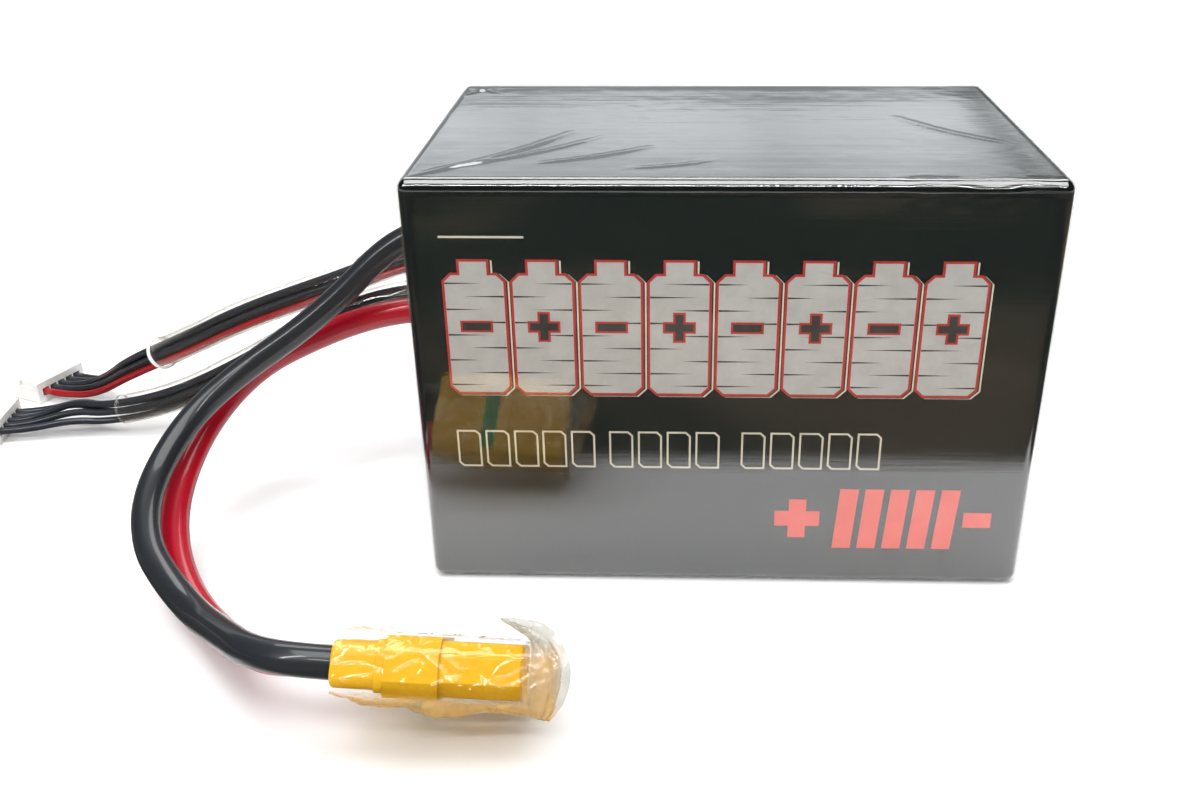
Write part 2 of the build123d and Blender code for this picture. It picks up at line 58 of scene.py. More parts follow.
# Cords, as in part.py
lead_diameter = 5.6 * mm
wire_diameter = 1.7 * mm
wire_pitch = 2.25
sleeve_diameter = 7.4 * mm
lead_start_x = -56.0
wire_start_x = -54.9
black_exit = (1.0, 61.3)
red_exit = (3.0, 42.5)
upper_exit = (15.0, 51.5)
lower_exit = (17.0, 40.5)
contact_spacing = 10.9
lead_straight_length = 5.0
cup_start = 4.0
plug_pitch = 2.5
plug_height = 5.75
wires_per_plug = 5
fan_length = 17.0
fan_rise = 3.4
fan_spread = 0.8
fan_height_kept = 0.7
wire_straight_length = 5.0
wire_end_depth = 2.5
upper_plug_place = (-174.0, 43.0, 22.0)
lower_plug_place = (-177.0, 21.5, -6.0)

# The connector's place: the middle of its rear face, how far it leans on its side, how far it turns
# from X, and how far its nose dips
connector_rear = (-64.9, -80.6, 14.45)
connector_lean = math.radians(39.0)
connector_turn = math.radians(2.0)
connector_pitch = math.radians(4.5)
connector_width = 21.2
connector_thickness = 9.8

black_route = [
    (lead_start_x, *black_exit), (-61.3, *black_exit), (-67.3, 0.8, 59.6), (-73.6, 0.2, 55.3),
    (-81.7, -1.9, 47.4), (-92, -4.3, 39.4), (-102.5, -8, 32.9), (-111.3, -15, 26.7), (-115.8, -25, 20.8),
    (-115.8, -36.5, 16.6), (-111.8, -46.8, 13.4), (-104.7, -55.3, 11.4), (-96.2, -64, 10.7),
    (-87.1, -73.8, 14.2), (-79.5, -81.5, 16.9),
]
red_route = [
    (lead_start_x, *red_exit), (-66, *red_exit), (-78, 3.5, 40), (-90, 3.2, 35.3), (-102.5, 1, 29.4),
    (-111, -6.5, 22), (-114.5, -17, 15.4), (-114, -29, 10.4), (-110, -40, 6.4), (-103.5, -50, 3.9),
    (-95.3, -58.4, 3), (-86.9, -67.5, 6), (-79.8, -74, 9.1),
]
upper_route = [
    (wire_start_x, *upper_exit), (-65, *upper_exit), (-75, 15.1, 48.6), (-86, 15.3, 44), (-98, 16, 39.6),
    (-112, 17.2, 34), (-126, 19.5, 26.6), (-146, 27.5, 15.8),
]
lower_route = [
    (wire_start_x, *lower_exit), (-66, *lower_exit), (-80, 17.5, 38), (-94, 18.5, 31.7), (-108, 19.5, 23.5),
    (-122, 20, 15.7), (-136, 20.3, 9.6), (-151, 20.8, 6.3),
]
sleeve_start_x = -58.0
sleeve_end_shares = {"upper": 0.5, "lower": 0.72}
sleeve_seeds = {"upper": 3.0, "lower": 11.0}
sleeve_wall = 0.25 * mm
sleeve_rumple = 0.22 * mm
sleeve_inset = 0.1 * mm

connector_frame = (
    Matrix.Translation(connector_rear)
    @ Matrix.Rotation(connector_turn, 4, "Z")
    @ Matrix.Rotation(connector_pitch, 4, "Y")
    @ Matrix.Rotation(-connector_lean, 4, "X"))


# Materials

grazing_power = 5.0


class Shader:
    """One node material, built step by step."""

    def __init__(self, name):
        self.material = bpy.data.materials.new(name)
        self.material.use_nodes = True
        self.tree = self.material.node_tree
        self.tree.nodes.clear()
        self.output = self.tree.nodes.new("ShaderNodeOutputMaterial")
        self.place = self.tree.nodes.new("ShaderNodeTexCoord").outputs["Object"]

    def node(self, kind, inputs=None, **settings):
        """Add a node, set its properties, and set or link its inputs."""
        made = self.tree.nodes.new(kind)
        for name, value in settings.items():
            setattr(made, name, value)
        for name, value in (inputs or {}).items():
            if isinstance(value, bpy.types.NodeSocket):
                self.tree.links.new(value, made.inputs[name])
            else:
                made.inputs[name].default_value = value
        return made

    def stretched(self, scale, rotation=(0, 0, 0)):
        """Object coordinates turned and then stretched."""
        turned = self.node("ShaderNodeMapping", {"Vector": self.place, "Rotation": rotation})
        return self.node("ShaderNodeMapping", {"Vector": turned.outputs[0], "Scale": scale}).outputs[0]

    def noise(self, scale, detail=2.0, roughness=0.5, distortion=0.0, vector=None):
        """A noise value from 0 to 1."""
        return self.node("ShaderNodeTexNoise", {
            "Vector": vector or self.place, "Scale": scale, "Detail": detail,
            "Roughness": roughness, "Distortion": distortion}).outputs["Fac"]

    def ramp(self, value, low, high, bottom=0.0, top=1.0):
        """A value spread from one range onto another, and kept inside it."""
        return self.node("ShaderNodeMapRange", {
            "Value": value, "From Min": low, "From Max": high, "To Min": bottom, "To Max": top}).outputs[0]

    def sums(self, operation, first, second):
        """One arithmetic step."""
        return self.node("ShaderNodeMath", {0: first, 1: second}, operation=operation).outputs[0]

    def colours(self, share, first, second):
        """Two colours mixed."""
        mixed = self.node("ShaderNodeMix", {"Factor": share, "A": first, "B": second}, data_type="RGBA")
        return mixed.outputs["Result"]

    def bump(self, height, strength, distance, normal=None):
        """A normal roughened by a height."""
        inputs = {"Height": height, "Strength": strength, "Distance": distance}
        if normal:
            inputs["Normal"] = normal
        return self.node("ShaderNodeBump", inputs).outputs[0]

    def finish(self, surface):
        """Use this shader as the surface, and give back the material."""
        self.tree.links.new(surface, self.output.inputs["Surface"])
        return self.material

    def solid(self, colour, roughness, **more):
        """Finish as an opaque Principled surface."""
        inputs = {"Base Color": colour, "Roughness": roughness}
        inputs.update({name.replace("_", " "): value for name, value in more.items()})
        return self.finish(self.node("ShaderNodeBsdfPrincipled", inputs).outputs[0])


def grey(value, red=0.0, blue=0.0):
    """An opaque grey, warmer or colder by the given amounts."""
    return (value + red, value, value + blue, 1.0)


def thin_film(shader, normal, tint, head_on, roughness, haze=None, haze_colour=None):
    """Finish as thin film, mirroring most at grazing angles and clear or clouded otherwise."""
    facing = shader.node("ShaderNodeLayerWeight", {"Blend": 0.5, "Normal": normal}).outputs["Facing"]
    steep = shader.sums("POWER", facing, grazing_power)
    mirror = shader.sums("ADD", shader.sums("MULTIPLY", steep, 1.0 - head_on), head_on)
    through = shader.node("ShaderNodeBsdfTransparent", {"Color": tint}).outputs[0]
    if haze:
        milky = shader.node("ShaderNodeBsdfDiffuse", {"Color": haze_colour, "Normal": normal}).outputs[0]
        through = shader.node("ShaderNodeMixShader", {0: haze, 1: through, 2: milky}).outputs[0]
    gloss = shader.node("ShaderNodeBsdfGlossy", {
        "Color": (1, 1, 1, 1), "Roughness": roughness, "Normal": normal}).outputs[0]
    return shader.finish(shader.node("ShaderNodeMixShader", {0: mirror, 1: through, 2: gloss}).outputs[0])


def overwrap_material():
    """Shrink film, drawn into fine streaks along X, with patches of tiny wrinkles on its top."""
    shader = Shader("clear_film_look")
    streaks = shader.noise(1.0, detail=3.0, roughness=0.6, vector=shader.stretched((14, 420, 420)))
    waves = shader.noise(40, detail=3.0, roughness=0.55, distortion=0.6)
    height = shader.node("ShaderNodeSeparateXYZ", {0: shader.place}).outputs[2]
    on_top = shader.ramp(height, pack_height - 1.5 * mm, pack_height - 0.8 * mm)
    patches = shader.sums("MULTIPLY", on_top, shader.ramp(shader.noise(55, detail=2.0), 0.56, 0.72))
    wrinkles = shader.noise(900, detail=2.0, distortion=1.5)
    normal = shader.bump(waves, 0.06, 0.6 * mm)
    normal = shader.bump(streaks, 0.10, 0.3 * mm, normal)
    normal = shader.bump(shader.sums("MULTIPLY", patches, wrinkles), 0.16, 0.1 * mm, normal)
    return thin_film(shader, normal, (1, 1, 1, 1), 0.08, 0.05)


def connector_film_material():
    """Crinkled film, clouded as far as its mesh says, with the connector's yellow light painted into its
    haze colour where its mesh says.
    """
    shader = Shader("connector_film_look")
    cloud = shader.node("ShaderNodeAttribute", attribute_name="cloud").outputs["Fac"]
    painted_yellow = shader.node("ShaderNodeAttribute", attribute_name="painted_yellow").outputs["Fac"]
    folds = shader.noise(420, detail=3.0, roughness=0.6, distortion=1.0)
    normal = shader.bump(folds, 0.30, 0.4 * mm)
    drawn = shader.noise(1.0, detail=3.0, vector=shader.stretched((420, 420, 110)))
    haze = shader.sums("MULTIPLY", cloud, shader.ramp(drawn, 0.3, 0.7, 0.7, 1.25))
    # Grey-beige is the film's own milky colour; the tan is painted yellow light from the connector shining
    # through the film.
    colour = shader.colours(painted_yellow, (0.34, 0.33, 0.27, 1), (0.50, 0.31, 0.11, 1))
    return thin_film(shader, normal, (1.0, 0.99, 0.97, 1), 0.055, 0.04, haze, colour)


def soft_sleeve_material():
    """Clear soft tube: see-through where it faces the eye and cloudy towards its edges."""
    shader = Shader("clear_sleeve_look")
    normal = shader.bump(shader.noise(300, detail=3.0, distortion=0.6), 0.2, 0.6 * mm)
    facing = shader.node("ShaderNodeLayerWeight", {"Blend": 0.5}).outputs["Facing"]
    haze = shader.ramp(facing, 0.40, 0.95, 0.004, 0.28)
    return thin_film(shader, normal, (1.0, 0.995, 0.985, 1), 0.028, 0.07, haze, (0.86, 0.82, 0.74, 1))


def black_wrap_material():
    """Heat-shrink skin: deep black with a faint green cast."""
    shader = Shader("black_wrap_look")
    tone = shader.noise(60, detail=4.0)
    normal = shader.bump(shader.noise(45, detail=2.0), 0.10, 0.5 * mm)
    return shader.solid(
        shader.colours(tone, (0.004, 0.005, 0.005, 1), (0.010, 0.012, 0.011, 1)), 0.14,
        Normal=normal, Coat_Weight=1.0, Coat_Roughness=0.04)


def label_material():
    """Gloss print on a black ground."""
    shader = Shader("label_look")
    tone = shader.noise(35, detail=5.0)
    normal = shader.bump(shader.noise(30, detail=2.0), 0.06, 0.5 * mm)
    return shader.solid(
        shader.colours(tone, (0.006, 0.008, 0.007, 1), (0.012, 0.015, 0.013, 1)), 0.12,
        Normal=normal, Coat_Weight=1.0, Coat_Roughness=0.03)


def ink_material(name, dark, light):
    """Printed ink with slightly uneven cover."""
    shader = Shader(name)
    cover = shader.ramp(shader.noise(220, detail=4.0, roughness=0.65), 0.3, 0.7)
    return shader.solid(shader.colours(cover, dark, light), 0.3, Coat_Weight=1.0, Coat_Roughness=0.04)


def silicone_material(name, deep, plain):
    """Glossy silicone insulation with fine dust and long shallow waves."""
    shader = Shader(name)
    waves = shader.noise(160, detail=2.0)
    grain = shader.noise(2600, detail=3.0)
    normal = shader.bump(grain, 0.06, 0.05 * mm, shader.bump(waves, 0.16, 0.5 * mm))
    dust = shader.ramp(shader.noise(900, detail=5.0, roughness=0.7), 0.55, 0.8)
    colour = shader.colours(shader.noise(70, detail=3.0), deep, plain)
    roughness = shader.ramp(dust, 0.0, 1.0, 0.34, 0.5)
    return shader.solid(colour, roughness, Normal=normal, Specular_IOR_Level=0.3,
                        Coat_Weight=0.5, Coat_Roughness=0.08)


def moulded_material(name, dark, plain, light, roughness=0.3, bevel=0.2 * mm, bump_strength=0.08):
    """Injection-moulded plastic with rounded edges and slightly uneven colour."""
    shader = Shader(name)
    tone = shader.colours(shader.ramp(shader.noise(120, detail=4.0), 0.3, 0.7), plain, light)
    flow = shader.ramp(shader.noise(420, detail=5.0, roughness=0.65, distortion=1.2), 0.45, 0.75, 0.0, 0.35)
    edges = shader.node("ShaderNodeBevel", {"Radius": bevel}, samples=6).outputs[0]
    normal = shader.bump(shader.noise(1500, detail=3.0), bump_strength, 0.05 * mm, edges)
    return shader.solid(shader.colours(flow, tone, dark), roughness, Normal=normal)


def metal_material(name, dark, light, roughness):
    """Plated or rolled metal with fine scratches."""
    shader = Shader(name)
    scratches = shader.noise(300, detail=4.0, vector=shader.stretched((1, 12, 12)))
    return shader.solid(shader.colours(scratches, dark, light),
                        shader.ramp(scratches, 0.2, 0.8, roughness * 0.7, roughness * 1.3), Metallic=1.0)


def flat_material(name, dark, light, roughness, scale):
    """Plain matt stock such as foam, board, paper or tape."""
    shader = Shader(name)
    fibres = shader.noise(scale, detail=5.0, roughness=0.7)
    normal = shader.bump(fibres, 0.25, 0.1 * mm)
    return shader.solid(shader.colours(fibres, dark, light), roughness, Normal=normal)


looks = {
    "pouch_foil": metal_material("pouch_foil_look", grey(0.45), grey(0.7), 0.35),
    "tab_aluminium": metal_material("tab_aluminium_look", grey(0.6), grey(0.8), 0.3),
    "tab_nickel": metal_material("tab_nickel_look", grey(0.5, 0.03), grey(0.68, 0.03), 0.3),
    "tape": flat_material("tape_look", grey(0.5, 0.03, -0.05), grey(0.65, 0.03, -0.05), 0.6, 800),
    "circuit_board": flat_material("board_look", (0.05, 0.09, 0.04, 1), (0.09, 0.14, 0.06, 1), 0.4, 900),
    "insulating_paper": flat_material("paper_look", grey(0.18), grey(0.25), 0.8, 1200),
    "copper": metal_material("copper_look", (0.5, 0.22, 0.12, 1), (0.8, 0.42, 0.27, 1), 0.3),
    "solder": metal_material("solder_look", grey(0.4), grey(0.6), 0.25),
    "foam": flat_material("foam_look", grey(0.01), grey(0.03), 0.9, 1500),
    "fibre_tape": flat_material(
        "fibre_tape_look", grey(0.4, 0.03, -0.04), grey(0.6, 0.03, -0.04), 0.6, 2000),
    "black_wrap": black_wrap_material(),
    "printed_label": label_material(),
    "clear_film": overwrap_material(),
    "connector_film": connector_film_material(),
    "clear_sleeve": soft_sleeve_material(),
    "black_silicone": silicone_material(
        "black_silicone_look", (0.011, 0.012, 0.015, 1), (0.020, 0.023, 0.027, 1)),
    "red_silicone": silicone_material("red_silicone_look", (0.33, 0.001, 0.010, 1), (0.47, 0.002, 0.018, 1)),
    "red_wire": silicone_material("red_wire_look", (0.2, 0.004, 0.008, 1), (0.36, 0.006, 0.012, 1)),
    "black_wire": silicone_material("black_wire_look", (0.012, 0.014, 0.019, 1), (0.024, 0.028, 0.036, 1)),
    # The white ring at the upper sleeve's end is a painted highlight: its white stands in for the light
    # caught on the clear sleeve's open rim.
    "white_ring": moulded_material("painted_rim_highlight_look", grey(0.6), grey(0.8), grey(0.86)),
    "yellow_nylon": moulded_material(
        "yellow_nylon_look", (0.50, 0.23, 0.0, 1), (0.66, 0.36, 0.0, 1), (0.70, 0.40, 0.0, 1), 0.36),
    "green_nylon": moulded_material(
        "green_nylon_look", (0.01, 0.10, 0.02, 1), (0.012, 0.16, 0.035, 1), (0.02, 0.22, 0.05, 1), 0.3),
    "gold_plated_brass": metal_material("gold_look", (0.75, 0.5, 0.16, 1), (0.95, 0.70, 0.30, 1), 0.2),
    "resistor_ceramic": moulded_material("resistor_look", grey(0.3), grey(0.45), grey(0.5)),
    "white_nylon": moulded_material(
        "white_nylon_look", grey(0.55, 0.01, -0.04), grey(0.74, 0.01, -0.03), grey(0.8, 0.01, -0.02), 0.38),
    "tin_plated_contacts": metal_material("tin_look", grey(0.5), grey(0.75), 0.25),
}

inks = {
    "silver": ink_material("silver_ink", grey(0.36, 0.01, -0.03), grey(0.42, 0.01, -0.03)),
    "red": ink_material("dark_red_ink", (0.36, 0.018, 0.012, 1), (0.44, 0.025, 0.018, 1)),
    "cream": ink_material("cream_ink", (0.52, 0.47, 0.36, 1), (0.62, 0.56, 0.43, 1)),
    "salmon": ink_material("salmon_ink", (0.62, 0.055, 0.028, 1), (0.68, 0.075, 0.038, 1)),
    "dark": ink_material("dark_ink", grey(0.02), grey(0.04)),
}

slot_of_node = {part["node"]: part["material_slot"] for part in frame["record"]["subparts"]}
for node_name, node_object in frame["nodes"].items():
    node_object.data.materials.clear()
    node_object.data.materials.append(looks[slot_of_node[node_name]])


# Geometry helpers

def piece_from(name, data, slot_name, body="pack", look=None):
    """Link an object, give it its slot's look or another, and let it ride on a body."""
    piece = bpy.data.objects.new(name, data)
    bpy.context.collection.objects.link(piece)
    data.materials.append(look or looks[slot_name])
    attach(piece, body)
    return piece


def place_in(matrix, x, y, z):
    """A point of a placed piece, in the pack's frame."""
    return tuple(matrix @ Vector((x, y, z)))


def nurbs(name, points):
    """A smooth line with a route's points, in millimetres, as its control points."""
    data = bpy.data.curves.new(name, "CURVE")
    data.dimensions = "3D"
    spline = data.splines.new("NURBS")
    spline.points.add(len(points) - 1)
    for knot, point in zip(spline.points, points):
        knot.co = (*(Vector(point) * mm), 1.0)
    spline.order_u = 3
    spline.use_endpoint_u = True
    spline.resolution_u = 16
    return data


def round_cord(name, points, diameter, slot_name):
    """A cord of round section along a route."""
    data = nurbs(name, points)
    data.bevel_depth = diameter / 2
    data.bevel_resolution = 6
    data.use_fill_caps = True
    return piece_from(name, data, slot_name)


def line_of(points):
    """Points read from the smooth line of a route."""
    guide = bpy.data.objects.new("guide", nurbs("guide", points))
    mesh = bpy.data.meshes.new_from_object(guide)
    places = [vertex.co.copy() for vertex in mesh.vertices]
    curve = guide.data
    bpy.data.objects.remove(guide)
    bpy.data.curves.remove(curve)
    bpy.data.meshes.remove(mesh)
    return places


def frames_along(places):
    """A frame at each place, turned as little as possible from one to the next."""
    frames = []
    side = None
    for index, place in enumerate(places):
        before = places[max(index - 1, 0)]
        after = places[min(index + 1, len(places) - 1)]
        ahead = (after - before).normalized()
        if side is None:
            side = ahead.cross(Vector((0, 0, 1))).normalized()
        side = (side - ahead * side.dot(ahead)).normalized()
        frames.append((place, ahead, side, ahead.cross(side)))
    return frames


def mesh_from(name, vertices, faces, smooth=True):
    """A mesh from lists of vertices and faces."""
    mesh = bpy.data.meshes.new(name)
    mesh.from_pydata([tuple(vertex) for vertex in vertices], [], faces)
    mesh.validate()
    if smooth:
        mesh.polygons.foreach_set("use_smooth", [True] * len(mesh.polygons))
    mesh.update()
    return mesh


def ring_faces(rings, sides):
    """Quads between neighbouring closed rings of vertices."""
    faces = []
    for ring in range(rings - 1):
        for side in range(sides):
            following = (side + 1) % sides
            faces.append((ring * sides + side, ring * sides + following,
                          (ring + 1) * sides + following, (ring + 1) * sides + side))
    return faces


def wall(piece, thickness):
    """Give an open surface its thickness, inwards."""
    modifier = piece.modifiers.new("wall", "SOLIDIFY")
    modifier.thickness = thickness
    modifier.offset = -1.0


# Cords

def bundle_offsets():
    """Where the wires of one bundle run beside its middle line, as (y, z)."""
    column = wire_pitch * math.sqrt(3) / 4
    return [(-column, -wire_pitch), (-column, 0.0), (-column, wire_pitch),
            (column, wire_pitch / 2), (column, -wire_pitch / 2)]


def plug_frame(place):
    """Where a balance plug lies: its rear end's middle, heading away from the pack."""
    x, y, turn = place
    return Matrix.Translation((x, y, plug_height / 2)) @ Matrix.Rotation(math.radians(180 - turn), 4, "Z")


def wire_route(route, offset, place, pin):
    """A balance wire: beside the bundle's middle line, then fanned out to its pin."""
    matrix = plug_frame(place)
    points = [(x, y + offset[0], z + offset[1]) for x, y, z in route]
    sideways = -(pin - (wires_per_plug - 1) / 2) * plug_pitch
    points.append(place_in(matrix, -fan_length, fan_spread * sideways,
                           fan_rise + fan_height_kept * offset[1]))
    points.append(place_in(matrix, -wire_straight_length, sideways, 0))
    points.append(place_in(matrix, wire_end_depth, sideways, 0))
    return points


def sleeve_route(route, end_share):
    """The middle line of a clear sleeve over a bundle."""
    start, end = Vector(route[-2]), Vector(route[-1])
    return [(sleeve_start_x, *route[0][1:])] + route[1:-1] + [tuple(start + (end - start) * end_share)]


def sleeve_piece(name, route, end_share, seed):
    """A soft clear sleeve, rumpled along its length."""
    sides = 28
    frames = frames_along(line_of(sleeve_route(route, end_share)))
    vertices = []
    for index, (place, _, side, up) in enumerate(frames):
        for step in range(sides):
            angle = 2 * math.pi * step / sides
            rumple = noise.noise(Vector((index * 0.10, 1.6 * math.cos(angle), 1.6 * math.sin(angle) + seed)))
            radius = sleeve_diameter / 2 + sleeve_rumple * rumple - sleeve_inset
            vertices.append(place + (side * math.cos(angle) + up * math.sin(angle)) * radius)
    piece = piece_from(name, mesh_from(name, vertices, ring_faces(len(frames), sides)), "clear_sleeve")
    wall(piece, sleeve_wall)
    return piece


def cord_length(points):
    """Length of the smooth line of a route."""
    places = line_of(points)
    return sum((after - before).length for before, after in zip(places, places[1:]))


connector_pieces = [
    frame["nodes"][name] for name in (
        "connector_housing", "connector_cap", "anti_spark_inlays", "negative_contact", "positive_contact",
        "anti_spark_insulator", "pre_charge_ring", "pre_charge_resistor", "lead_solder_fills")]

for name, route, pin_y, slot_name, carried in (
        ("black_lead", black_route, -contact_spacing / 2, "black_silicone", connector_pieces),
        ("red_lead", red_route, contact_spacing / 2, "red_silicone", connector_pieces)):
    points = route + [place_in(connector_frame, -lead_straight_length, pin_y, 0),
                      place_in(connector_frame, cup_start, pin_y, 0)]
    lead = round_cord(name + "_silicone", points, lead_diameter, slot_name)
    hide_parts(name)
    cord_length(points)

for side, route, place, exit_point in (
        ("upper", upper_route, upper_plug_place, upper_exit),
        ("lower", lower_route, lower_plug_place, lower_exit)):
    sleeve = sleeve_piece(side + "_clear_sleeve", route, sleeve_end_shares[side], sleeve_seeds[side])
    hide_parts(side + "_balance_sleeve")
    carried = [frame["nodes"][side + "_plug_housing"], frame["nodes"][side + "_plug_contacts"], sleeve]
    if side == "upper":
        carried.append(frame["nodes"]["upper_sleeve_ring"])
    for pin, offset in enumerate(bundle_offsets()):
        node_name = f"{side}_balance_wire_{pin + 1}"
        points = wire_route(route, offset, place, pin)
        wire = round_cord(node_name + "_silicone", points, wire_diameter, slot_of_node[node_name])
        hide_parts(node_name)
        cord_length(points)


# Clear film over the pack

film_fine_step = 0.36 * mm
film_coarse_step = 0.75 * mm
film_edge_share = 1.3
window_rounding = 5 * mm
window_wobble = 0.8 * mm


def stations(half, edge, fine, coarse):
    """Places along one side of the box, closer together near its ends."""
    inner = half - edge
    steps = max(2, round(2 * inner / coarse))
    middle = [-inner + 2 * inner * index / steps for index in range(steps + 1)]
    fine_steps = round(edge / fine)
    ends = [inner + edge * (index + 1) / fine_steps for index in range(fine_steps)]
    return [-value for value in reversed(ends)] + middle + ends


def in_window(place):
    """Whether a place on the lead end lies in the opening cut round the leads."""
    if place.x > -pack_length / 2 + 0.5 * mm:
        return False
    middle_y = (film_window_low[0] + film_window_high[0]) / 2
    middle_z = (film_window_low[1] + film_window_high[1]) / 2
    over_y = abs(place.y - middle_y) - ((film_window_high[0] - film_window_low[0]) / 2 - window_rounding)
    over_z = abs(place.z - middle_z) - ((film_window_high[1] - film_window_low[1]) / 2 - window_rounding)
    wobble = window_wobble * noise.noise(place * 120)
    return math.hypot(max(over_y, 0), max(over_z, 0)) < window_rounding + wobble


def smooth_step(value, low, high):
    """A share that rises smoothly from 0 to 1 between two values."""
    share = max(0.0, min(1.0, (value - low) / (high - low)))
    return share * share * (3 - 2 * share)


def crease(place, start, end, width, height):
    """A narrow ridge along a straight line on the top, from (x, y) to (x, y), fading at its ends."""
    along = Vector(end) - Vector(start)
    offset = Vector((place.x, place.y)) - Vector(start)
    share = offset.dot(along) / along.length_squared
    if not 0.0 < share < 1.0:
        return 0.0
    bend = 0.06 * along.length * math.sin(math.pi * share)
    across = (offset.x * along.y - offset.y * along.x) / along.length - bend
    return height * math.sin(math.pi * share) ** 0.7 * math.exp(-(across / width) ** 2)


# Each crease: its two ends as (x, y), its width and its height
top_creases = [
    ((-57 * mm, -35 * mm), (-30 * mm, -4 * mm), 0.8 * mm, 0.30 * mm),
    ((-54 * mm, -31 * mm), (-24 * mm, -8 * mm), 0.6 * mm, 0.22 * mm),
    ((-36 * mm, -27 * mm), (-14 * mm, -15 * mm), 0.7 * mm, 0.22 * mm),
    ((-20 * mm, -30 * mm), (-2 * mm, -24 * mm), 0.6 * mm, 0.14 * mm),
    ((34 * mm, 8 * mm), (54 * mm, -14 * mm), 0.7 * mm, 0.18 * mm),
    ((-50 * mm, 33 * mm), (-57 * mm, 25 * mm), 0.7 * mm, 0.35 * mm),
    ((-57 * mm, 33 * mm), (-48 * mm, 27 * mm), 0.7 * mm, 0.30 * mm),
]


def film_height(place, normal):
    """How far the film stands off its smooth box, in metres."""
    slow = noise.noise(place * 28 + Vector((3.1, 0, 0)))
    drawn = noise.noise(Vector((place.x * 18, place.y * 130, place.z * 18)))
    fine = noise.noise(place * 260)
    blisters = max(noise.noise(place * 170 + Vector((7.7, 1.3, 0))) - 0.35, 0.0)
    top = max(normal.z, 0.0)
    height = top * (0.10 * mm * slow + 0.035 * mm * drawn + 0.012 * mm * fine + 0.06 * mm * blisters)
    for line in top_creases:
        height += top * crease(place, *line)
    bunched = smooth_step(place.x, 25 * mm, 33 * mm) * math.exp(-((place.y + 36.5 * mm) / (2.2 * mm)) ** 2)
    ripples = noise.noise(Vector((place.x * 150, place.y * 500, place.z * 500)))
    height += bunched * 0.35 * mm * (ripples + 0.3) * smooth_step(place.z, 78 * mm, 82 * mm)
    height += (1.0 - abs(normal.z)) * 0.03 * mm * slow
    return height


def film_over_pack():
    """The shrink film: a rounded box that is creased on its top and smooth on its front."""
    halves = (pack_length / 2, pack_depth / 2, pack_height / 2)
    middle = Vector((0, 0, pack_height / 2))
    edge = corner_radius * film_edge_share
    lines = [stations(half, edge, film_fine_step, film_coarse_step) for half in halves]
    inner = [half - corner_radius for half in halves]
    numbers = {}
    vertices = []
    faces = []

    def corner(key):
        if key not in numbers:
            raw = Vector([lines[axis][key[axis]] for axis in range(3)])
            core = Vector([max(-inner[axis], min(inner[axis], raw[axis])) for axis in range(3)])
            normal = (raw - core).normalized()
            place = core + normal * corner_radius + middle
            numbers[key] = len(vertices)
            vertices.append(place + normal * film_height(place, normal))
        return numbers[key]

    for axis in range(3):
        first, second = (axis + 1) % 3, (axis + 2) % 3
        for end, order in ((len(lines[axis]) - 1, 1), (0, -1)):
            for i in range(len(lines[first]) - 1):
                for j in range(len(lines[second]) - 1):
                    keys = []
                    for step_i, step_j in ((0, 0), (1, 0), (1, 1), (0, 1)):
                        key = [0, 0, 0]
                        key[axis] = end
                        key[first] = i + step_i
                        key[second] = j + step_j
                        keys.append(tuple(key))
                    face = [corner(key) for key in keys][::order]
                    centre = sum((vertices[number] for number in face), Vector()) / 4
                    if not in_window(centre):
                        faces.append(face)
    used = sorted({number for face in faces for number in face})
    renumbered = {number: index for index, number in enumerate(used)}
    mesh = mesh_from("overwrap_film", [vertices[number] for number in used],
                     [[renumbered[number] for number in face] for face in faces])
    film = piece_from("overwrap_film", mesh, "clear_film")
    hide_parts("clear_overwrap")


film_over_pack()


# Printed graphics on the front: plain battery symbols and bars, with no lettering

front_label_y = -pack_depth / 2 + 0.2 * mm


def outset(outline, distance):
    """A closed outline moved outwards by a distance. Its points run counterclockwise."""
    moved = []
    for index, point in enumerate(outline):
        here = Vector(point)
        before = (here - Vector(outline[index - 1])).normalized()
        after = (Vector(outline[(index + 1) % len(outline)]) - here).normalized()
        out_before = Vector((before.y, -before.x))
        out_after = Vector((after.y, -after.x))
        middle = (out_before + out_after).normalized()
        moved.append(tuple(here + middle * (distance / max(middle.dot(out_before), 0.3))))
    return moved


def band_round(outline, inside, outside):
    """Quads between two parallel outlines."""
    inner, outer = outset(outline, inside), outset(outline, outside)
    count = len(outline)
    return [(inner[i], outer[i], outer[(i + 1) % count], inner[(i + 1) % count]) for i in range(count)]


def shifted(outline, x, z):
    """An outline moved sideways and up."""
    return [(point[0] + x, point[1] + z) for point in outline]


def rectangle(left, bottom, right, top):
    """A rectangle's outline."""
    return [(left, bottom), (right, bottom), (right, top), (left, top)]


def printed(name, outlines, ink, lift):
    """Thin plates of one ink on the front label, from outlines in millimetres as (x, z)."""
    builder = bmesh.new()
    for outline in outlines:
        builder.faces.new([builder.verts.new((x * mm, front_label_y, z * mm)) for x, z in outline])
    bmesh.ops.remove_doubles(builder, verts=builder.verts, dist=0.001 * mm)
    raised = bmesh.ops.extrude_face_region(builder, geom=list(builder.faces))
    for element in raised["geom"]:
        if isinstance(element, bmesh.types.BMVert):
            element.co.y -= lift
    bmesh.ops.recalc_face_normals(builder, faces=builder.faces)
    mesh = bpy.data.meshes.new(name)
    builder.to_mesh(mesh)
    builder.free()
    return piece_from(name, mesh, "printed_label", look=inks[ink])


def cell_symbol(left, bottom, width, height):
    """The outline of a battery cell: a block with cut corners and a raised terminal."""
    cut = 1.3
    shoulder = bottom + height - 2.6
    nub_left = left + width * 0.27
    nub_right = left + width * 0.73
    right = left + width
    return [(left + cut, bottom), (right - cut, bottom), (right, bottom + cut), (right, shoulder - cut),
            (right - cut, shoulder), (nub_right, shoulder), (nub_right, bottom + height),
            (nub_left, bottom + height), (nub_left, shoulder), (left + cut, shoulder),
            (left, shoulder - cut), (left, bottom + cut)]


